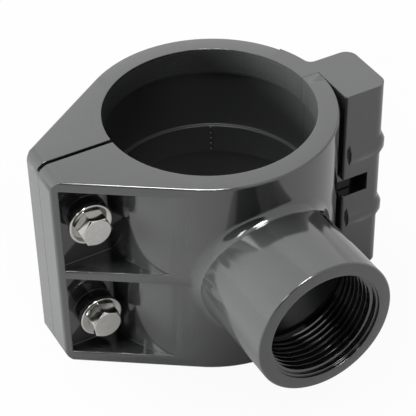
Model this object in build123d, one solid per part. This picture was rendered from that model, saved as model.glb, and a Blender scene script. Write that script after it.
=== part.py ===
from build123d import *
import math
import os

os.makedirs("parts", exist_ok=True)

# Hinged clamp saddle for a 75 mm pipe with a G 1 1/4 outlet.  Millimetres.
# Z is the pipe axis, z = 0 the lower end face, -Y the outlet, -X the bolted side, +X the hinge.

# pipe bore and body
bore_r = 37.5
wall = 7.5
height = 81.0
mid = height / 2
body_r = bore_r + wall
recess_r = bore_r + 1.4          # bore between the gripping bands
end_band = 10.3                  # height of the band at each end
mid_band = 11.8                  # height of the middle band
rim_bevel = 0.7
hairline = 0.1                   # joint line where the two halves meet

# bolted side
flange_end = 65.4
flange_half = 9.3                # half width of the end face
flange_gap = 1.6                 # open gap between the flanges
end_round = 4.5                  # rounding of the flange end, seen from the front
corner_round = 1.6               # upright corners of the flange end
plate_t = 7.7                    # flange plate behind the pockets
end_wall = 2.3
end_rib = 4.4                    # top and bottom ribs
mid_rib = 3.8
lip_drop = 2.6                   # the closing lip stays clear of the end rounding
lip_t = 2.3

# fasteners
bolt_x = -52.7
bolt_rise = 21.2                 # bolts above and below mid height
boss_r = 7.3
boss_face = 12.6                 # washer seat from the split plane
shank_r = 3.0
front_hole_r = 4.7                # room for the swing of the outlet half
rear_hole_r = 4.0
washer_r = 7.85
washer_bore_r = 3.3
washer_t = 1.5
hex_flats = 10.2
hex_h = 5.0
hex_face_r = 4.9                 # flat circle left by the 30 degree chamfer
nut_fit = 0.05
bolt_tip = 29.0                  # tip of the bolt behind the split plane
tip_bevel = 0.7
head_turn = {"upper": 8, "lower": 21}
hole_play = {"upper": -0.9, "lower": 0.3}    # the bolts sit off centre in their holes

# outlet
outlet_r = 25.7
outlet_face = 77.3
outlet_root = 2.4                # facets of the concave root
root_ease = 0.95
thread_r = 20.955                # G 1 1/4 major radius
thread_depth = 22.0
passage_r = 17.5
pad_r = 28.0                     # raised pad that carries the seal
seal_in_r = 19.6
seal_out_r = 24.4
seal_depth = 3.8
seal_side_gap = 0.2
seal_sink = 0.05

# hinge
block_left = 44.35
block_right = 62.0
block_front = -18.4
block_back = 6.64
block_round = 4.3
block_nose = 1.2
neck_round = 3.0
front_flat = 44.1                # flat on the outlet half beside the block
pivot_x = 49.6
pivot_y = -9.4
pin_r = 2.5
pin_fit = 0.05
pin_low = 3.0
pin_top = 58.0
knuckle_r = 4.8
slot_h = 7.8
slot_right = 54.9
slot_back = -3.6
tongue_t = 7.2
tongue_root = 38.0               # where the tongue grows out of the body wall
prop_x = 43.7                    # outer edge of the prop under the tongue
prop_w = 5.5
prop_drop = 13.6
prop_taper = 2.4
band_rise = 14.4                 # raised bands above and below the slot
band_out = 1.4
band_flat = 3.0
band_slope = 3.2
band_start = 46.6
band_end = 2.0


def slab(sketch, z0, z1):
    """A plan shape extruded from z0 up to z1."""
    return extrude(Pos(0, 0, z0) * sketch, z1 - z0, dir=(0, 0, 1))


def rod(x, z, r, y0, y1):
    """A cylinder along Y from y0 to y1."""
    return Pos(x, (y0 + y1) / 2, z) * Rot(90, 0, 0) * Cylinder(r, abs(y1 - y0))


def side_space(side, y0):
    """Everything beyond the plane y = y0 on one side."""
    return Pos(0, y0 + side * 100, mid) * Box(300, 200, height + 20)


def tangent_point(x, y, r):
    """Where the line from (x, y) touches the circle, on the outer side."""
    turn = math.atan2(y, x) - math.copysign(math.acos(r / math.hypot(x, y)), y)
    return r * math.cos(turn), r * math.sin(turn)


def flange_plan(side):
    """One flange in plan: end face, rounded corner and the tangent to the body."""
    corner = (-flange_end, side * flange_half)
    touch = tangent_point(*corner, body_r)
    plan = Polygon((-flange_end, 0), corner, touch, (0, 0), align=None)
    outer = plan.vertices().sort_by_distance(Vector(*corner))[0]
    return fillet(outer, corner_round)


def end_frame():
    """The flange end's rounded side view, through the whole width."""
    side_view = Rectangle(4 * flange_end, height, align=(Align.MIN, Align.MIN))
    side_view = fillet(side_view.vertices().sort_by(Axis.X)[:2], end_round)
    return extrude(Plane.XZ * Pos(-flange_end, 0) * side_view, body_r, both=True)


def flange(side):
    """Ribs, plate, end wall and washer bosses on the bolted side of one half."""
    plan = flange_plan(side)
    solid = Pos(-flange_end / 2, side * plate_t / 2, mid) * Box(flange_end, plate_t, height)
    solid += Pos(-flange_end, 0, mid) * Box(2 * end_wall, 4 * body_r, height)
    solid &= slab(plan, 0, height)
    for z0, t in ((0, end_rib), (mid - mid_rib / 2, mid_rib), (height - end_rib, end_rib)):
        rib = slab(plan, z0, z0 + t)
        slope = [f for f in rib.faces() if abs(f.normal_at().X * f.normal_at().Y) > 0.1]
        edges = [e for f in slope for e in f.edges() if abs(e.tangent_at(0.5).Z) < 0.5]
        solid += chamfer(edges, rim_bevel)
    for z in bolt_levels.values():
        solid += rod(bolt_x, z, boss_r, 0, side * boss_face)
    return solid & end_frame()


def body_ring():
    """Outer cylinder of the body with bevelled rims."""
    ring = Pos(0, 0, mid) * Cylinder(body_r, height)
    return chamfer(ring.edges().filter_by(GeomType.CIRCLE), rim_bevel)


def bore():
    """Pipe bore: a band at each end, one in the middle, shallow recesses between them."""
    cut = Pos(0, 0, mid) * Cylinder(bore_r, height + 10)
    cut += slab(Circle(recess_r), end_band, mid - mid_band / 2)
    return cut + slab(Circle(recess_r), mid + mid_band / 2, height - end_band)


def branch(body):
    """Outlet branch with its concave root, grown out of the body."""
    joined = body + rod(0, mid, outlet_r, -outlet_face, -bore_r / 2)
    rim = joined.edges().sort_by(Axis.Y)[0]
    joined = chamfer(rim, rim_bevel)
    for leg in (outlet_root, root_ease):
        joined = chamfer(joined.edges().filter_by(GeomType.BSPLINE), leg)
    return joined


def seal_ring(inner_r, outer_r, face_r):
    """A ring round the outlet, bent to the pipe: from radius face_r out to the groove floor."""
    ring = rod(0, mid, outer_r, -body_r, 0) - rod(0, mid, inner_r, -body_r, 0)
    shell = Cylinder(bore_r + seal_depth, 3 * height) - Cylinder(face_r, 3 * height)
    return ring & shell


def tongue():
    """Hinge tongue with its knuckle and the prop that tapers down to the body."""
    web = Rectangle(pivot_x - tongue_root, 2 * knuckle_r, align=(Align.MIN, Align.CENTER))
    plan = Pos(tongue_root, pivot_y) * web + Pos(pivot_x, pivot_y) * Circle(knuckle_r)
    solid = slab(plan, mid - tongue_t / 2, mid + tongue_t / 2)
    under = mid - tongue_t / 2
    side_view = Polygon((tongue_root, under), (prop_x, under),
                        (prop_x - prop_taper, under - prop_drop),
                        (tongue_root, under - prop_drop), align=None)
    side_view = Plane.XZ.offset(knuckle_r - pivot_y) * side_view
    prop = extrude(side_view, prop_w, dir=(0, 1, 0))
    return solid + prop


def outlet_half():
    solid = branch(body_ring()) + flange(-1)
    solid &= side_space(-1, -hairline)
    solid &= Pos(front_flat - 150, 0, mid) * Box(300, 300, height)
    solid += tongue()
    solid -= bore()
    pad = rod(0, mid, pad_r, -body_r, -bore_r / 2)
    solid += pad & (Pos(0, 0, mid) * (Cylinder(recess_r + 1, height) - Cylinder(bore_r, height)))
    solid -= seal_ring(seal_in_r - seal_side_gap, seal_out_r + seal_side_gap, bore_r - 5)
    solid -= rod(0, mid, passage_r, -outlet_face - 1, 0)
    solid -= rod(0, mid, thread_r, -outlet_face - 1, -outlet_face + thread_depth)
    for z in bolt_levels.values():
        solid -= rod(bolt_x, z, front_hole_r, -boss_face - 1, 1)
    solid -= Pos(pivot_x, pivot_y, mid) * Cylinder(pin_r + pin_fit, height)
    return solid


def block_plan():
    """Hinge block in plan, rounded at its outer corners and its nose."""
    plan = Pos(block_left, block_front) * Rectangle(
        block_right - block_left, block_back - block_front, align=(Align.MIN, Align.MIN))
    outer = plan.vertices().group_by(Axis.X)[-1]
    plan = fillet(outer, block_round)
    nose = plan.vertices().sort_by_distance(Vector(block_left, block_front))[0]
    return fillet(nose, block_nose)


def band(z):
    """A raised band with sloping sides, wrapped round the front and outer faces of the block."""
    full = offset(block_plan(), band_out)
    half = extrude(Pos(0, 0, z) * full, band_flat / 2, both=True)
    slope = math.degrees(math.atan(band_out / band_slope))
    for way in (1, -1):
        top = Pos(0, 0, z + way * band_flat / 2) * full
        half += extrude(top, band_slope, dir=(0, 0, way), taper=slope)
    keep = Box(60, 60, 40, align=(Align.MIN, Align.MAX, Align.CENTER))
    return half & Pos(band_start, band_end, z) * keep


def strap_half():
    solid = body_ring() + flange(1)
    solid &= side_space(1, 0)
    solid -= Pos(-150, 0, mid) * Box(300, 2 * flange_gap, height)
    lip = Pos(-flange_end + lip_t / 2, flange_gap, mid) * Box(lip_t, 2 * flange_gap, height - 2 * lip_drop)
    solid += lip & end_frame()
    back = Circle(body_r) + block_plan()
    back += Pos(block_left / 2, block_back / 2) * Rectangle(block_left + 4, block_back)
    notch = Vector(math.sqrt(body_r ** 2 - block_back ** 2), block_back)
    back = fillet(back.vertices().sort_by_distance(notch)[0], neck_round)
    inner = Pos(block_left - 4, 0) * Rectangle(60, 60, align=(Align.MIN, Align.MIN))
    neck = slab(back & inner, 0, height)
    solid += neck + slab(block_plan(), 0, height)
    for way in (1, -1):
        solid += band(mid + way * band_rise)
    solid -= bore()
    slot = Pos(slot_right, slot_back, mid) * Box(
        20, 40, slot_h, align=(Align.MAX, Align.MAX, Align.CENTER))
    solid -= slot
    for z in bolt_levels.values():
        solid -= rod(bolt_x, z, rear_hole_r, 0, boss_face + 1)
    solid -= Pos(pivot_x, pivot_y, 0) * Cylinder(
        pin_r, pin_top, align=(Align.CENTER, Align.CENTER, Align.MIN))
    return solid


def hexagon():
    """Hexagon prism along +Z from z = 0."""
    return extrude(RegularPolygon(hex_flats / 2, 6, major_radius=False), hex_h)


def hex_head():
    """Hexagon with its corners chamfered at the far end."""
    reach = hex_h * math.tan(math.radians(60))
    return hexagon() & Pos(0, 0, hex_h / 2) * Cone(hex_face_r + reach, hex_face_r, hex_h)


def bolt_place(level):
    """Where a bolt stands on the flange, seen from the front."""
    return bolt_x + hole_play[level], bolt_levels[level]


def bolt(level):
    """Hexagon bolt along Y: washer face at -boss_face - washer_t, tip behind the nut."""
    seat = -boss_face - washer_t
    x, z = bolt_place(level)
    head = Pos(x, seat, z) * Rot(90, 0, 0) * Rot(0, 0, head_turn[level]) * hex_head()
    shank = rod(x, z, shank_r, seat, bolt_tip)
    shank = chamfer(shank.edges().sort_by(Axis.Y)[-1], tip_bevel)
    return head + shank


def washer(level, side):
    x, z = bolt_place(level)
    y0 = side * boss_face
    y1 = side * (boss_face + washer_t)
    return rod(x, z, washer_r, y0, y1) - rod(x, z, washer_bore_r, y0 - side, y1 + side)


def nut(level):
    x, z = bolt_place(level)
    y0 = boss_face + washer_t
    blank = Pos(x, y0, z) * Rot(-90, 0, 0) * hexagon()
    return blank - rod(x, z, shank_r + nut_fit, y0 - 1, y0 + hex_h + 1)


bolt_levels = {"upper": mid + bolt_rise, "lower": mid - bolt_rise}

nodes = {
    "outlet_half": outlet_half(),
    "strap_half": strap_half(),
    "seal_ring": seal_ring(seal_in_r, seal_out_r, bore_r + seal_sink),
    "hinge_pin": Pos(pivot_x, pivot_y, (pin_low + pin_top) / 2) * Cylinder(pin_r, pin_top - pin_low),
}
for level in bolt_levels:
    nodes[f"bolt_{level}"] = bolt(level)
    nodes[f"front_washer_{level}"] = washer(level, -1)
    nodes[f"rear_washer_{level}"] = washer(level, 1)
    nodes[f"nut_{level}"] = nut(level)

for name, solid in nodes.items():
    export_step(solid, f"parts/{name}.step")
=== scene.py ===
import math

import bmesh
import bpy
from mathutils import Matrix, Vector


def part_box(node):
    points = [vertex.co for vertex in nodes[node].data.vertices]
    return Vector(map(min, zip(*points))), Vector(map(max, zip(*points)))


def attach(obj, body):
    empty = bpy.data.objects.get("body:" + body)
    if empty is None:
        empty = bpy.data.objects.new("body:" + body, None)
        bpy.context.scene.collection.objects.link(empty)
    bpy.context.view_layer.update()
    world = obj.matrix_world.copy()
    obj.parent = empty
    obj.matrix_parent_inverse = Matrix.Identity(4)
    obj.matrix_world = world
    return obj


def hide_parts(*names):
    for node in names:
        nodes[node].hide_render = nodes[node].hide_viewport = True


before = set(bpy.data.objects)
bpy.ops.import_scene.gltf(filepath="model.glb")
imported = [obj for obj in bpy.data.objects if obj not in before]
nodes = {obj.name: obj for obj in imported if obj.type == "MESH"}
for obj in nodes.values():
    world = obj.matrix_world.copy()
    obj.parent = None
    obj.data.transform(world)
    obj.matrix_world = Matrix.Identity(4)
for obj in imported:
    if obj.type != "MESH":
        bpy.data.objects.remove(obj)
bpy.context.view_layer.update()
mm = 0.001
print("frame loaded with", len(nodes), "parts")


def middle(node):
    low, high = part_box(node)
    return [(low[i] + high[i]) / 2 / mm for i in range(3)]


levels = ("upper", "lower")
boltAt = {level: middle("front_washer_" + level) for level in levels}
midHeight = middle("strap_half")[2]


def linear(hexColour):
    parts = [int(hexColour[i:i + 2], 16) / 255 for i in (1, 3, 5)]
    return tuple(c / 12.92 if c <= 0.04045 else ((c + 0.055) / 1.055) ** 2.4 for c in parts) + (1.0,)


def addNode(tree, kind, settings=None, values=None, links=None):
    node = tree.nodes.new(kind)
    for name, value in (settings or {}).items():
        setattr(node, name, value)
    for socket, value in (values or {}).items():
        node.inputs[socket].default_value = value
    for socket, source in (links or {}).items():
        tree.links.new(source, node.inputs[socket])
    return node


def startMaterial(name):
    material = bpy.data.materials.new(name)
    material.use_nodes = True
    material.node_tree.nodes.clear()
    return material, material.node_tree


def finishMaterial(tree, shader):
    addNode(tree, "ShaderNodeOutputMaterial", links={"Surface": shader.outputs[0]})


# moulded PVC-U: dark grey with faint flow marks, glossy where the mould was polished, matt on the core side
def makePvc(name, look, edgeMm):
    material, tree = startMaterial(name)
    place = addNode(tree, "ShaderNodeTexCoord").outputs["Object"]
    spot = addNode(tree, "ShaderNodeSeparateXYZ", None, None, {0: place}).outputs
    flow = addNode(tree, "ShaderNodeTexNoise", {"noise_dimensions": "3D"},
                   {"Scale": 1 / (look["flowMm"] * mm), "Detail": 2.0, "Roughness": 0.5}, {"Vector": place})
    grain = addNode(tree, "ShaderNodeTexNoise", {"noise_dimensions": "3D"},
                    {"Scale": 1 / (look["grainMm"] * mm), "Detail": 3.0, "Roughness": 0.6}, {"Vector": place})
    tint = addNode(tree, "ShaderNodeMix", {"data_type": "RGBA"},
                   {6: linear(look["dark"]), 7: linear(look["light"])}, {0: flow.outputs[0]})
    gloss = addNode(tree, "ShaderNodeMapRange", None,
                    {"From Min": 0.3, "From Max": 0.7,
                     "To Min": look["roughLow"], "To Max": look["roughHigh"]},
                    {"Value": grain.outputs[0]})
    wave = addNode(tree, "ShaderNodeBump", None,
                   {"Strength": 1.0, "Distance": look["flowDepthMm"] * mm}, {"Height": flow.outputs[0]})
    # the core side: inside the pipe bore, and inside the outlet ahead of the pipe
    flat = addNode(tree, "ShaderNodeVectorMath", {"operation": "MULTIPLY"}, {1: (1, 1, 0)}, {0: place})
    fromAxis = addNode(tree, "ShaderNodeVectorMath", {"operation": "LENGTH"}, None, {0: flat.outputs[0]})
    within = addNode(tree, "ShaderNodeMapRange", None,
                     {"From Min": look["coreR"] * mm, "From Max": (look["coreR"] + look["coreFadeMm"]) * mm,
                      "To Min": 1.0, "To Max": 0.0}, {"Value": fromAxis.outputs["Value"]})
    below = addNode(tree, "ShaderNodeMath", {"operation": "LESS_THAN"}, {1: look["coreTop"] * mm},
                    {0: spot[2]})
    pipeSide = addNode(tree, "ShaderNodeMath", {"operation": "MULTIPLY"}, None,
                       {0: within.outputs[0], 1: below.outputs[0]})
    raised = addNode(tree, "ShaderNodeMath", {"operation": "SUBTRACT"}, {1: midHeight * mm}, {0: spot[2]})
    across = addNode(tree, "ShaderNodeCombineXYZ", None, None, {0: spot[0], 1: raised.outputs[0]})
    spread = addNode(tree, "ShaderNodeVectorMath", {"operation": "LENGTH"}, None, {0: across.outputs[0]})
    inside = addNode(tree, "ShaderNodeMath", {"operation": "LESS_THAN"}, {1: look["outletCoreR"] * mm},
                     {0: spread.outputs["Value"]})
    ahead = addNode(tree, "ShaderNodeMath", {"operation": "LESS_THAN"}, {1: 0.0}, {0: spot[1]})
    outletSide = addNode(tree, "ShaderNodeMath", {"operation": "MULTIPLY"}, None,
                         {0: inside.outputs[0], 1: ahead.outputs[0]})
    core = addNode(tree, "ShaderNodeMath", {"operation": "MAXIMUM"}, None,
                   {0: pipeSide.outputs[0], 1: outletSide.outputs[0]})
    sheen = addNode(tree, "ShaderNodeMix", {"data_type": "FLOAT"}, {3: look["coreRough"]},
                    {0: core.outputs[0], 2: gloss.outputs[0]})
    bright = addNode(tree, "ShaderNodeMix", {"data_type": "FLOAT"},
                     {2: look["specular"], 3: look["coreSpecular"]}, {0: core.outputs[0]})
    shine = addNode(tree, "ShaderNodeMix", {"data_type": "FLOAT"}, {3: look["outletSpecular"]},
                    {0: outletSide.outputs[0], 2: bright.outputs[0]})
    if edgeMm:
        edge = addNode(tree, "ShaderNodeBevel", {"samples": look["edgeSamples"]}, {"Radius": edgeMm * mm})
        tree.links.new(edge.outputs[0], wave.inputs["Normal"])
    skin = addNode(tree, "ShaderNodeBump", None,
                   {"Strength": 1.0, "Distance": look["grainDepthMm"] * mm},
                   {"Height": grain.outputs[0], "Normal": wave.outputs[0]})
    shader = addNode(tree, "ShaderNodeBsdfPrincipled", None,
                     {"Metallic": 0.0, "IOR": look["ior"]},
                     {"Base Color": tint.outputs[2], "Roughness": sheen.outputs[0],
                      "Specular IOR Level": shine.outputs[0], "Normal": skin.outputs[0]})
    finishMaterial(tree, shader)
    return material


mouldedPvc = {
    "dark": "#343635", "light": "#383A39", "ior": 1.55, "specular": 1.0,
    "flowMm": 14.0, "flowDepthMm": 0.02,
    "grainMm": 0.5, "grainDepthMm": 0.0012,   # drawn coarser than the real grain so that it shows
    "roughLow": 0.08, "roughHigh": 0.12,
    "edgeMm": 0.45, "edgeSamples": 6,         # moulded edges are never quite sharp
    "coreR": 39.2, "coreFadeMm": 0.3, "coreTop": 80.8, "outletCoreR": 19.3,
    "coreRough": 0.38, "coreSpecular": 0.7, "outletSpecular": 0.2,
}
pvc = makePvc("mouldedPvcU", mouldedPvc, mouldedPvc["edgeMm"])
crispPvc = makePvc("mouldedPvcUFine", mouldedPvc, 0)   # the same plastic on threads and teeth


# polished stainless steel: bright and mirror-like, dulled a little by fine turning marks
def makeStainless(name, look):
    material, tree = startMaterial(name)
    place = addNode(tree, "ShaderNodeTexCoord").outputs["Object"]
    haze = addNode(tree, "ShaderNodeTexNoise", {"noise_dimensions": "3D"},
                   {"Scale": 1 / (look["hazeMm"] * mm), "Detail": 3.0}, {"Vector": place})
    gloss = addNode(tree, "ShaderNodeMapRange", None,
                    {"From Min": 0.3, "From Max": 0.7,
                     "To Min": look["roughLow"], "To Max": look["roughHigh"]},
                    {"Value": haze.outputs[0]})
    tint = addNode(tree, "ShaderNodeMix", {"data_type": "RGBA"},
                   {6: linear(look["dark"]), 7: linear(look["light"])}, {0: haze.outputs[0]})
    dents = addNode(tree, "ShaderNodeBump", None,
                    {"Strength": 1.0, "Distance": look["depthMm"] * mm}, {"Height": haze.outputs[0]})
    shader = addNode(tree, "ShaderNodeBsdfPrincipled", None, {"Metallic": 1.0},
                     {"Base Color": tint.outputs[2], "Roughness": gloss.outputs[0],
                      "Normal": dents.outputs[0]})
    finishMaterial(tree, shader)
    return material


stainless = makeStainless("polishedStainless", {
    "dark": "#BAB9B5", "light": "#CCCBC7", "hazeMm": 1.6, "depthMm": 0.006,
    "roughLow": 0.08, "roughHigh": 0.17})


# EPDM rubber: matt black with a fine bloom
def makeRubber(name, look):
    material, tree = startMaterial(name)
    place = addNode(tree, "ShaderNodeTexCoord").outputs["Object"]
    bloom = addNode(tree, "ShaderNodeTexNoise", {"noise_dimensions": "3D"},
                    {"Scale": 1 / (look["bloomMm"] * mm), "Detail": 4.0}, {"Vector": place})
    tint = addNode(tree, "ShaderNodeMix", {"data_type": "RGBA"},
                   {6: linear(look["dark"]), 7: linear(look["light"])}, {0: bloom.outputs[0]})
    skin = addNode(tree, "ShaderNodeBump", None,
                   {"Strength": 1.0, "Distance": look["bloomDepthMm"] * mm}, {"Height": bloom.outputs[0]})
    shader = addNode(tree, "ShaderNodeBsdfPrincipled", None, {"Roughness": look["rough"], "IOR": look["ior"]},
                     {"Base Color": tint.outputs[2], "Normal": skin.outputs[0]})
    finishMaterial(tree, shader)
    return material


rubber = makeRubber("epdmRubber", {
    "dark": "#101010", "light": "#1E1E1D", "bloomMm": 1.2, "bloomDepthMm": 0.01, "rough": 0.72, "ior": 1.5})
print("materials made")


def newPiece(name, mesh, body, material):
    piece = bpy.data.objects.new(name, mesh)
    bpy.context.scene.collection.objects.link(piece)
    mesh.materials.clear()
    mesh.materials.append(material)
    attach(piece, body)
    return piece


def weighNormals(piece, keepSharp):
    weighted = piece.modifiers.new("shading", "WEIGHTED_NORMAL")
    weighted.mode = "FACE_AREA"
    weighted.keep_sharp = keepSharp


def roundEdges(piece, widthMm, segments, limit):
    piece.data.polygons.foreach_set("use_smooth", [True] * len(piece.data.polygons))
    bevel = piece.modifiers.new("edges", "BEVEL")
    bevel.width = widthMm * mm
    bevel.segments = segments
    bevel.limit_method = "ANGLE"
    bevel.angle_limit = math.radians(limit)
    bevel.use_clamp_overlap = False
    bevel.miter_outer = "MITER_ARC"
    bevel.loop_slide = False
    weighNormals(piece, False)


# the two moulded halves: copies of the solids, joined up and shaded smooth, their edges eased by the material
halves = {
    "outletShell": {"node": "outlet_half", "body": "outlet"},
    "strapShell": {"node": "strap_half", "body": "strap"},
}
shading = {"sharpFrom": 50, "weldMm": 0.002}


def joinedCopy(node):
    mesh = nodes[node].data.copy()
    for name in [a.name for a in mesh.attributes if "normal" in a.name]:
        mesh.attributes.remove(mesh.attributes[name])
    work = bmesh.new()
    work.from_mesh(mesh)
    bmesh.ops.remove_doubles(work, verts=work.verts, dist=shading["weldMm"] * mm)
    work.to_mesh(mesh)
    work.free()
    return mesh


for name, half in halves.items():
    shell = newPiece(name, joinedCopy(half["node"]), half["body"], pvc)
    shell.data.polygons.foreach_set("use_smooth", [True] * len(shell.data.polygons))
    shell.data.set_sharp_from_angle(angle=math.radians(shading["sharpFrom"]))
    weighNormals(shell, True)
    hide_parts(half["node"])
print("moulded halves eased")


# hexagon bolts, nuts and washers, built ring by ring along the bolt
bolt = {"flats": 10.2, "height": 5.0, "faceR": 4.9, "seat": -12.6, "washer": 1.5, "core": 2.55,
        "tip": 29.0, "tipTaper": 0.6, "chamfer": 30, "steps": 72, "shankSteps": 32, "edgeMm": 0.12,
        "turn": {"upper": 8, "lower": 21}}
nutBore = {"r": 3.05, "mouthR": 3.4, "mouth": 0.5}
washerSize = {"r": 7.85, "boreR": 3.3, "t": 1.5, "dishR": 6.9, "seatR": 5.2, "dish": 0.7, "edgeMm": 0.3}


def loft(name, rings, hollow):
    mesh = bpy.data.meshes.new(name)
    work = bmesh.new()
    rows = [[work.verts.new(Vector(p) * mm) for p in ring] for ring in rings]
    pairs = list(zip(rows, rows[1:])) + ([(rows[-1], rows[0])] if hollow else [])
    for low, high in pairs:
        for i in range(len(low)):
            j = (i + 1) % len(low)
            work.faces.new((low[i], low[j], high[j], high[i]))
    if not hollow:
        work.faces.new(list(reversed(rows[0])))
        work.faces.new(rows[-1])
    bmesh.ops.recalc_face_normals(work, faces=work.faces)
    work.to_mesh(mesh)
    work.free()
    return mesh


def hexRadius(angle, flats):
    off = (angle % (math.pi / 3)) - math.pi / 6
    return flats / 2 / math.cos(off)


def boltRing(level, y, radius, turn=0.0, steps=bolt["steps"]):
    ring = []
    for i in range(steps):
        a = 2 * math.pi * i / steps
        r = radius(a) if callable(radius) else radius
        at = a + math.radians(turn)
        ring.append((boltAt[level][0] + r * math.cos(at), y, boltAt[level][2] + r * math.sin(at)))
    return ring


def hexRings(level, y0, y1, turn, chamferBoth):
    size = bolt
    slope = math.tan(math.radians(size["chamfer"]))
    way = 1 if y1 > y0 else -1

    def side(a):
        return hexRadius(a, size["flats"])

    def edge(y, out):
        ring = boltRing(level, y, side, turn)
        return [(x, y - out * slope * max(0, math.hypot(x - boltAt[level][0], z - boltAt[level][2])
                                       - size["faceR"]), z)
                for x, _, z in ring]
    rings = []
    if chamferBoth:
        rings += [boltRing(level, y0, size["faceR"], turn), edge(y0, -way)]
    else:
        rings += [boltRing(level, y0, side, turn)]
    return rings + [edge(y1, way), boltRing(level, y1, size["faceR"], turn)]


for level in levels:
    face = bolt["seat"] - bolt["washer"]
    headRings = hexRings(level, face + washerSize["dish"], face - bolt["height"], -bolt["turn"][level], False)
    head = newPiece("boltHead_" + level, loft("boltHead", headRings, False),
                    level + "_bolt", stainless)
    roundEdges(head, bolt["edgeMm"], 2, 20)
    shankRings = [boltRing(level, y, r, 0, bolt["shankSteps"]) for y, r in (
        (face + washerSize["dish"] + 0.2, bolt["core"]), (bolt["tip"] - bolt["tipTaper"], bolt["core"]),
        (bolt["tip"], bolt["core"] - bolt["tipTaper"]))]
    shank = newPiece("boltShank_" + level, loft("boltShank", shankRings, False),
                     level + "_bolt", stainless)
    roundEdges(shank, 0.1, 2, 40)
    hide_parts("bolt_" + level)
    nutFace = -face
    nutSeat = nutFace - washerSize["dish"]
    nutRings = hexRings(level, nutSeat, nutFace + bolt["height"], 0, True)
    nutTop = nutFace + bolt["height"]
    nutRings += [boltRing(level, y, r) for y, r in (
        (nutTop, nutBore["mouthR"]), (nutTop - nutBore["mouth"], nutBore["r"]),
        (nutSeat + nutBore["mouth"], nutBore["r"]), (nutSeat, nutBore["mouthR"]))]
    nut = newPiece("hexNut_" + level, loft("hexNut", nutRings, True), "strap", stainless)
    roundEdges(nut, bolt["edgeMm"], 2, 20)
    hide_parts("nut_" + level)
    for side, label, body in ((-1, "front", level + "_bolt"), (1, "rear", "strap")):
        y0 = side * -bolt["seat"]
        y1 = y0 + side * washerSize["t"]
        dished = y1 - side * washerSize["dish"]
        ringSizes = ((y0, washerSize["boreR"]), (y0, washerSize["r"]), (y1, washerSize["r"]),
                     (y1, washerSize["dishR"]), (dished, washerSize["seatR"]), (dished, washerSize["boreR"]))
        rings = [boltRing(level, y, r) for y, r in ringSizes]
        washer = newPiece("plainWasher_" + label + "_" + level, loft("plainWasher", rings, True),
                          body, stainless)
        roundEdges(washer, washerSize["edgeMm"], 3, 40)
        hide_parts(label + "_washer_" + level)
print("bolts, nuts and washers made")


# screw threads: a ridge swept along a helix, for the outlet and for the bolts
def threadTree():
    tree = bpy.data.node_groups.new("threadTurns", "GeometryNodeTree")
    face = tree.interface
    for label, kind, value in (("Turns", "NodeSocketFloat", 1.0), ("Radius", "NodeSocketFloat", 1.0),
                               ("Length", "NodeSocketFloat", 1.0), ("Root width", "NodeSocketFloat", 1.0),
                               ("Crest width", "NodeSocketFloat", 1.0), ("Depth", "NodeSocketFloat", 1.0),
                               ("Steps per turn", "NodeSocketInt", 64), ("Inward", "NodeSocketFloat", 1.0),
                               ("Finish", "NodeSocketMaterial", None)):
        socket = face.new_socket(label, in_out="INPUT", socket_type=kind)
        if value is not None:
            socket.default_value = value
    face.new_socket("Geometry", in_out="OUTPUT", socket_type="NodeSocketGeometry")
    given = addNode(tree, "NodeGroupInput").outputs
    spiral = addNode(tree, "GeometryNodeCurveSpiral", None, None,
                     {"Resolution": given["Steps per turn"], "Rotations": given["Turns"],
                      "Start Radius": given["Radius"], "End Radius": given["Radius"],
                      "Height": given["Length"]})
    upright = addNode(tree, "GeometryNodeSetCurveNormal", {"mode": "Z_UP"}, None,
                      {"Curve": spiral.outputs[0]})
    profile = addNode(tree, "GeometryNodeCurvePrimitiveQuadrilateral", {"mode": "TRAPEZOID"}, {"Offset": 0.0},
                      {"Bottom Width": given["Root width"], "Top Width": given["Crest width"],
                       "Height": given["Depth"]})
    turned = addNode(tree, "ShaderNodeMath", {"operation": "MULTIPLY"}, {1: math.pi / 2},
                     {0: given["Inward"]})
    spin = addNode(tree, "ShaderNodeCombineXYZ", None, None, {"Z": turned.outputs[0]})
    shaped = addNode(tree, "GeometryNodeTransform", None, None,
                     {"Geometry": profile.outputs[0], "Rotation": spin.outputs[0]})
    swept = addNode(tree, "GeometryNodeCurveToMesh", None, {"Fill Caps": True},
                    {"Curve": upright.outputs[0], "Profile Curve": shaped.outputs[0]})
    real = addNode(tree, "GeometryNodeRealizeInstances", None, None, {"Geometry": swept.outputs[0]})
    painted = addNode(tree, "GeometryNodeSetMaterial", None, None,
                      {"Geometry": real.outputs[0], "Material": given["Finish"]})
    addNode(tree, "NodeGroupOutput", None, None, {0: painted.outputs[0]})
    return tree


def runTree(name, tree, values):
    carrier = bpy.data.objects.new(name, bpy.data.meshes.new(name))
    bpy.context.scene.collection.objects.link(carrier)
    modifier = carrier.modifiers.new("build", "NODES")
    modifier.node_group = tree
    for item in tree.interface.items_tree:
        if item.item_type == "SOCKET" and item.in_out == "INPUT" and item.name in values:
            modifier[item.identifier] = values[item.name]
    bpy.context.view_layer.update()
    ready = carrier.evaluated_get(bpy.context.evaluated_depsgraph_get())
    mesh = bpy.data.meshes.new_from_object(ready)
    bpy.data.objects.remove(carrier)
    return mesh


sweepWeldMm = 0.0005


def placeMesh(mesh, matrix):
    mesh.transform(matrix)
    work = bmesh.new()
    work.from_mesh(mesh)
    bmesh.ops.remove_doubles(work, verts=work.verts, dist=sweepWeldMm * mm)
    bmesh.ops.recalc_face_normals(work, faces=work.faces)
    work.to_mesh(mesh)
    work.free()
    return mesh


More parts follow.
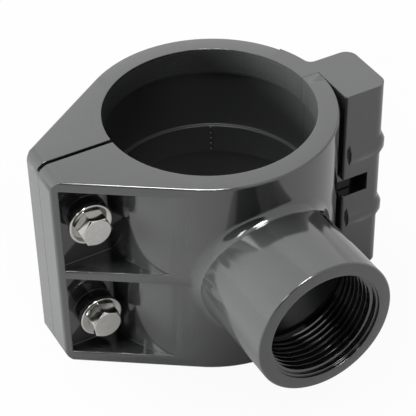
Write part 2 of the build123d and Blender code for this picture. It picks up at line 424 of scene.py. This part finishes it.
screwTree = threadTree()
outletThread = {"pitch": 2.309, "majorR": 20.955, "minorR": 19.476, "start": 2.4, "turns": 8, "face": -77.3,
                "turn": 232, "rootWidth": 1.75, "crestWidth": 0.7, "overlap": 0.1, "stepsPerTurn": 96}
mouthCollar = {"from": 1.3, "to": 2.3, "slope": 0.2, "innerR": 20.35, "outerR": 21.0}
ridge = runTree("outletThread", screwTree, {
    "Turns": outletThread["turns"],
    "Radius": (outletThread["majorR"] + outletThread["minorR"] + outletThread["overlap"]) / 2 * mm,
    "Length": outletThread["turns"] * outletThread["pitch"] * mm,
    "Root width": outletThread["rootWidth"] * mm, "Crest width": outletThread["crestWidth"] * mm,
    "Depth": (outletThread["majorR"] - outletThread["minorR"] + outletThread["overlap"]) * mm,
    "Steps per turn": outletThread["stepsPerTurn"], "Inward": -1.0, "Finish": crispPvc})
outward = Matrix.Translation((0, (outletThread["face"] + outletThread["start"]) * mm, midHeight * mm))
placeMesh(ridge, outward @ Matrix.Rotation(math.radians(-90), 4, "X")
          @ Matrix.Rotation(math.radians(outletThread["turn"]), 4, "Z"))
ridgePiece = newPiece("outletThread", ridge, "outlet", crispPvc)
roundEdges(ridgePiece, 0.08, 2, 30)


# the smooth ring behind the mouth of the outlet
def outletRing(depth, radius, steps=128):
    y = outletThread["face"] + depth
    angles = [2 * math.pi * i / steps for i in range(steps)]
    return [(radius * math.cos(a), y, midHeight + radius * math.sin(a)) for a in angles]


collarRings = [outletRing(depth, radius) for depth, radius in (
    (mouthCollar["from"] - mouthCollar["slope"], mouthCollar["outerR"]),
    (mouthCollar["from"], mouthCollar["innerR"]), (mouthCollar["to"], mouthCollar["innerR"]),
    (mouthCollar["to"] + mouthCollar["slope"], mouthCollar["outerR"]))]
collar = newPiece("mouthCollar", loft("mouthCollar", collarRings, True), "outlet", crispPvc)
roundEdges(collar, 0.08, 2, 30)

boltThread = {"pitch": 1.0, "outerR": 2.98, "coreR": 2.5, "length": 22.0, "rootWidth": 0.85,
              "crestWidth": 0.15, "stepsPerTurn": 32}
for level in levels:
    turns = runTree("boltThread", screwTree, {
        "Turns": boltThread["length"] / boltThread["pitch"],
        "Radius": (boltThread["outerR"] + boltThread["coreR"]) / 2 * mm,
        "Length": boltThread["length"] * mm,
        "Root width": boltThread["rootWidth"] * mm, "Crest width": boltThread["crestWidth"] * mm,
        "Depth": (boltThread["outerR"] - boltThread["coreR"]) * mm,
        "Steps per turn": boltThread["stepsPerTurn"], "Inward": 1.0, "Finish": stainless})
    start = bolt["tip"] - bolt["tipTaper"] - boltThread["length"]
    move = Matrix.Translation((boltAt[level][0] * mm, start * mm, boltAt[level][2] * mm))
    placeMesh(turns, move @ Matrix.Rotation(math.radians(-90), 4, "X"))
    thread = newPiece("boltThread_" + level, turns, level + "_bolt", stainless)
    thread.data.polygons.foreach_set("use_smooth", [False] * len(thread.data.polygons))
print("threads cut")


# gripping teeth moulded round the two end bands of the bore
def teethTree():
    tree = bpy.data.node_groups.new("gripTeeth", "GeometryNodeTree")
    face = tree.interface
    for label, kind in (("Radius", "NodeSocketFloat"), ("Start angle", "NodeSocketFloat"),
                        ("Angle step", "NodeSocketFloat"), ("Teeth", "NodeSocketInt"),
                        ("Rows", "NodeSocketInt"), ("First row", "NodeSocketFloat"),
                        ("Row gap", "NodeSocketFloat"), ("Tooth width", "NodeSocketFloat"),
                        ("Tooth height", "NodeSocketFloat"), ("Tooth depth", "NodeSocketFloat"),
                        ("Finish", "NodeSocketMaterial")):
        face.new_socket(label, in_out="INPUT", socket_type=kind)
    face.new_socket("Geometry", in_out="OUTPUT", socket_type="NodeSocketGeometry")
    given = addNode(tree, "NodeGroupInput").outputs
    index = addNode(tree, "GeometryNodeInputIndex").outputs[0]
    turn = addNode(tree, "ShaderNodeMath", {"operation": "MULTIPLY_ADD"}, None,
                   {0: index, 1: given["Angle step"], 2: given["Start angle"]}).outputs[0]
    along = addNode(tree, "ShaderNodeMath", {"operation": "COSINE"}, None, {0: turn}).outputs[0]
    across = addNode(tree, "ShaderNodeMath", {"operation": "SINE"}, None, {0: turn}).outputs[0]
    x = addNode(tree, "ShaderNodeMath", {"operation": "MULTIPLY"}, None,
                {0: along, 1: given["Radius"]}).outputs[0]
    y = addNode(tree, "ShaderNodeMath", {"operation": "MULTIPLY"}, None,
                {0: across, 1: given["Radius"]}).outputs[0]
    spot = addNode(tree, "ShaderNodeCombineXYZ", None, None, {"X": x, "Y": y}).outputs[0]
    ring = addNode(tree, "GeometryNodePoints", None, None,
                   {"Count": given["Teeth"], "Position": spot}).outputs[0]
    pyramid = addNode(tree, "GeometryNodeMeshCone", {"fill_type": "NGON"},
                      {"Vertices": 4, "Side Segments": 1, "Fill Segments": 1, "Radius Top": 0.0,
                       "Radius Bottom": math.sqrt(0.5), "Depth": 1.0}).outputs[0]
    square = addNode(tree, "GeometryNodeTransform", None, {"Rotation": (0, 0, math.pi / 4)},
                     {"Geometry": pyramid}).outputs[0]
    size = addNode(tree, "ShaderNodeCombineXYZ", None, None,
                   {"X": given["Tooth height"], "Y": given["Tooth width"],
                    "Z": given["Tooth depth"]}).outputs[0]
    tooth = addNode(tree, "GeometryNodeTransform", None, {"Rotation": (0, -math.pi / 2, 0)},
                    {"Geometry": square, "Scale": size}).outputs[0]
    facing = addNode(tree, "ShaderNodeCombineXYZ", None, None, {"Z": turn}).outputs[0]
    row = addNode(tree, "GeometryNodeInstanceOnPoints", None, None,
                  {"Points": ring, "Instance": tooth, "Rotation": facing}).outputs[0]
    rise = addNode(tree, "ShaderNodeMath", {"operation": "MULTIPLY_ADD"}, None,
                   {0: index, 1: given["Row gap"], 2: given["First row"]}).outputs[0]
    level = addNode(tree, "ShaderNodeCombineXYZ", None, None, {"Z": rise}).outputs[0]
    stack = addNode(tree, "GeometryNodePoints", None, None,
                    {"Count": given["Rows"], "Position": level}).outputs[0]
    rows = addNode(tree, "GeometryNodeInstanceOnPoints", None, None,
                   {"Points": stack, "Instance": row}).outputs[0]
    real = addNode(tree, "GeometryNodeRealizeInstances", None, None, {"Geometry": rows}).outputs[0]
    painted = addNode(tree, "GeometryNodeSetMaterial", None, None,
                      {"Geometry": real, "Material": given["Finish"]}).outputs[0]
    addNode(tree, "NodeGroupOutput", None, None, {0: painted})
    return tree


grip = {"radius": 37.54, "pitch": 0.6, "rows": 8, "gap": 1.1, "height": 0.8, "depth": 0.18,
        "lowBand": 1.4, "highBand": 71.9, "margin": 2.5}
toothTree = teethTree()
for name, body, start in (("strapTeeth", "strap", 0), ("outletTeeth", "outlet", 180)):
    step = grip["pitch"] / grip["radius"]
    first = math.radians(start + grip["margin"])
    count = int((math.pi - 2 * math.radians(grip["margin"])) / step)
    for band in ("lowBand", "highBand"):
        teeth = runTree("teeth", toothTree, {
            "Radius": grip["radius"] * mm, "Start angle": first, "Angle step": step, "Teeth": count,
            "Rows": grip["rows"], "First row": grip[band] * mm, "Row gap": grip["gap"] * mm,
            "Tooth width": grip["pitch"] * mm, "Tooth height": grip["height"] * mm,
            "Tooth depth": grip["depth"] * mm, "Finish": crispPvc})
        newPiece(name + band[0].upper() + band[1:], teeth, body, crispPvc)

# short moulding marks down the middle band
seam = {"angle": 61, "radius": 37.55, "width": 0.8, "depth": 0.7, "low": 34.9, "high": 46.2,
        "dashes": 5, "gap": 1.1}
dashLength = (seam["high"] - seam["low"] + seam["gap"]) / seam["dashes"] - seam["gap"]
dashes = bmesh.new()
for i in range(seam["dashes"]):
    bottom = seam["low"] + i * (dashLength + seam["gap"])
    shape = Matrix.Translation((0, (seam["radius"] - seam["depth"] / 2) * mm, (bottom + dashLength / 2) * mm))
    sizes = Matrix.Diagonal((seam["width"] * mm, seam["depth"] * mm, dashLength * mm, 1))
    swing = Matrix.Rotation(math.radians(seam["angle"] - 90), 4, "Z")
    bmesh.ops.create_cube(dashes, size=1, matrix=swing @ shape @ sizes)
seamMesh = bpy.data.meshes.new("mouldSeam")
dashes.to_mesh(seamMesh)
dashes.free()
roundEdges(newPiece("mouldSeam", seamMesh, "strap", crispPvc), 0.15, 2, 30)
print("teeth and seam made")


# parts of the frame that keep their own mesh
for name, material in (("seal_ring", rubber), ("hinge_pin", stainless)):
    nodes[name].data.materials.clear()
    nodes[name].data.materials.append(material)


# studio: pale floor, white backdrop, soft panels
def whiteForEye(tree):
    path = addNode(tree, "ShaderNodeLightPath").outputs
    eye = addNode(tree, "ShaderNodeMath", {"operation": "MAXIMUM"}, None,
                  {0: path["Is Camera Ray"], 1: path["Is Glossy Ray"]})
    return addNode(tree, "ShaderNodeMath", {"operation": "MAXIMUM"}, None,
                   {0: eye.outputs[0], 1: path["Is Transmission Ray"]}).outputs[0]


studio = {"floorSize": 6.0, "floorShare": 0.98, "ambient": 0.05,
          "floorForGloss": 0.86, "contactMm": 165.0, "contactForGloss": 1.0, "contactForEye": 0.05,
          "washedMm": -75.0, "shadedMm": -45.0, "washedShare": 0.1}


# pale paper: pure white to the eye and in reflections, with a soft painted shade, from ambient occlusion,
# where the object stands close
def makeFloorPaint():
    material, tree = startMaterial("palePaperFloor")
    share = addNode(tree, "ShaderNodeMath", {"operation": "MULTIPLY"}, {1: studio["floorShare"]},
                    {0: whiteForEye(tree)})
    paper = addNode(tree, "ShaderNodeBsdfDiffuse", None, {"Color": linear("#A4A4A2")})
    path = addNode(tree, "ShaderNodeLightPath").outputs
    # painted shadow: the floor's glow is dimmed where ambient occlusion finds the object close
    near = addNode(tree, "ShaderNodeAmbientOcclusion", {"samples": 8}, {"Distance": studio["contactMm"] * mm})
    shut = addNode(tree, "ShaderNodeMath", {"operation": "SUBTRACT"}, {0: 1.0}, {1: near.outputs["AO"]})
    depth = addNode(tree, "ShaderNodeMapRange", None,
                    {"To Min": studio["contactForEye"], "To Max": studio["contactForGloss"]},
                    {"Value": path["Is Glossy Ray"]})
    loss = addNode(tree, "ShaderNodeMath", {"operation": "MULTIPLY"}, None,
                   {0: shut.outputs[0], 1: depth.outputs[0]})
    # painted light: the contact shade is painted out, by position, on the side of the floor where the side
    # panel stands
    place = addNode(tree, "ShaderNodeTexCoord").outputs["Object"]
    spot = addNode(tree, "ShaderNodeSeparateXYZ", None, None, {0: place}).outputs
    washed = addNode(tree, "ShaderNodeMapRange", None,
                     {"From Min": studio["washedMm"] * mm, "From Max": studio["shadedMm"] * mm,
                      "To Min": studio["washedShare"], "To Max": 1.0}, {"Value": spot[0]})
    kept = addNode(tree, "ShaderNodeMath", {"operation": "MULTIPLY"}, None,
                   {0: loss.outputs[0], 1: washed.outputs[0]})
    left = addNode(tree, "ShaderNodeMath", {"operation": "SUBTRACT", "use_clamp": True}, {0: 1.0},
                   {1: kept.outputs[0]})
    level = addNode(tree, "ShaderNodeMapRange", None, {"To Min": 1.0, "To Max": studio["floorForGloss"]},
                    {"Value": path["Is Glossy Ray"]})
    strength = addNode(tree, "ShaderNodeMath", {"operation": "MULTIPLY"}, None,
                       {0: left.outputs[0], 1: level.outputs[0]})
    glow = addNode(tree, "ShaderNodeEmission", None, {"Color": linear("#FFFFFF")},
                   {"Strength": strength.outputs[0]})
    both = addNode(tree, "ShaderNodeMixShader", None, None,
                   {0: share.outputs[0], 1: paper.outputs[0], 2: glow.outputs[0]})
    finishMaterial(tree, both)
    return material


floorMesh = bpy.data.meshes.new("floor")
far = studio["floorSize"] / 2
floorMesh.from_pydata([(-far, -far, 0), (far, -far, 0), (far, far, 0), (-far, far, 0)], [], [(0, 1, 2, 3)])
floorMesh.materials.append(makeFloorPaint())
floor = bpy.data.objects.new("floor", floorMesh)
bpy.context.scene.collection.objects.link(floor)

world = bpy.data.worlds.new("studio")
world.use_nodes = True
world.node_tree.nodes.clear()
shade = addNode(world.node_tree, "ShaderNodeMapRange", None,
                {"To Min": studio["ambient"], "To Max": 1.0}, {"Value": whiteForEye(world.node_tree)})
sky = addNode(world.node_tree, "ShaderNodeBackground", None, {"Color": linear("#FFFFFF")},
              {"Strength": shade.outputs[0]})
addNode(world.node_tree, "ShaderNodeOutputWorld", None, None, {"Surface": sky.outputs[0]})
bpy.context.scene.world = world

# each light is left out of one kind of ray: the panels light softly, the strips only glint on edges
panels = {
    "leftPanel": {"place": (-1.10, 0.58, 0.30), "size": (0.8, 0.5), "watts": 56.0, "hideFrom": "glossy"},
    "topPanel": {"place": (-0.50, 0.30, 1.10), "size": (0.9, 0.9), "watts": 12.5, "hideFrom": "glossy"},
    "backPanel": {"place": (0.46, 0.85, 0.80), "size": (1.1, 1.0), "watts": 1.1, "hideFrom": "diffuse"},
    "leftStrip": {"place": (-0.95, -0.30, 1.00), "size": (0.5, 0.2), "watts": 3.0, "hideFrom": "diffuse"},
    "edgeLight": {"place": (-0.21, -0.25, 1.18), "size": (0.4, 0.38), "watts": 15.0, "hideFrom": "diffuse"},
}
aim = Vector((0, 0, midHeight * mm))

# a black flag beside the camera, seen only in reflections, gives the polished steel its dark bands
flag = {"place": (-0.72, -0.90, 0.72), "radius": 0.85}
flagMesh = bpy.data.meshes.new("blackFlag")
work = bmesh.new()
bmesh.ops.create_circle(work, cap_ends=True, segments=32, radius=flag["radius"])
work.to_mesh(flagMesh)
work.free()
flagMesh.transform(Matrix.Translation(flag["place"])
                   @ (aim - Vector(flag["place"])).to_track_quat("-Z", "Y").to_matrix().to_4x4())
felt, feltTree = startMaterial("blackFelt")
finishMaterial(feltTree, addNode(feltTree, "ShaderNodeBsdfDiffuse", None, {"Color": linear("#0A0A0A")}))
flagMesh.materials.append(felt)
blackFlag = bpy.data.objects.new("blackFlag", flagMesh)
bpy.context.scene.collection.objects.link(blackFlag)
for ray in ("camera", "diffuse", "transmission", "volume_scatter", "shadow"):
    setattr(blackFlag, "visible_" + ray, False)

for name, panel in panels.items():
    light = bpy.data.lights.new(name, "AREA")
    light.shape = "RECTANGLE"
    light.size, light.size_y = panel["size"]
    light.energy = panel["watts"]
    lamp = bpy.data.objects.new(name, light)
    lamp.location = panel["place"]
    lamp.rotation_euler = (aim - lamp.location).to_track_quat("-Z", "Y").to_euler()
    lamp.visible_camera = False
    setattr(lamp, "visible_" + panel["hideFrom"], False)
    bpy.context.scene.collection.objects.link(lamp)
print("studio lit")

view = {"place": (-0.21716, -0.39918, 0.40642), "turn": (50.8839, 0.9393, -29.1522), "lens": 139.77}
lens = bpy.data.cameras.new("camera")
lens.sensor_width = 36
lens.lens = view["lens"]
lens.clip_start = 0.01
lens.dof.use_dof = False
camera = bpy.data.objects.new("camera", lens)
camera.location = view["place"]
camera.rotation_euler = [math.radians(a) for a in view["turn"]]
bpy.context.scene.collection.objects.link(camera)
bpy.context.scene.camera = camera
bpy.context.scene.view_settings.view_transform = "Standard"
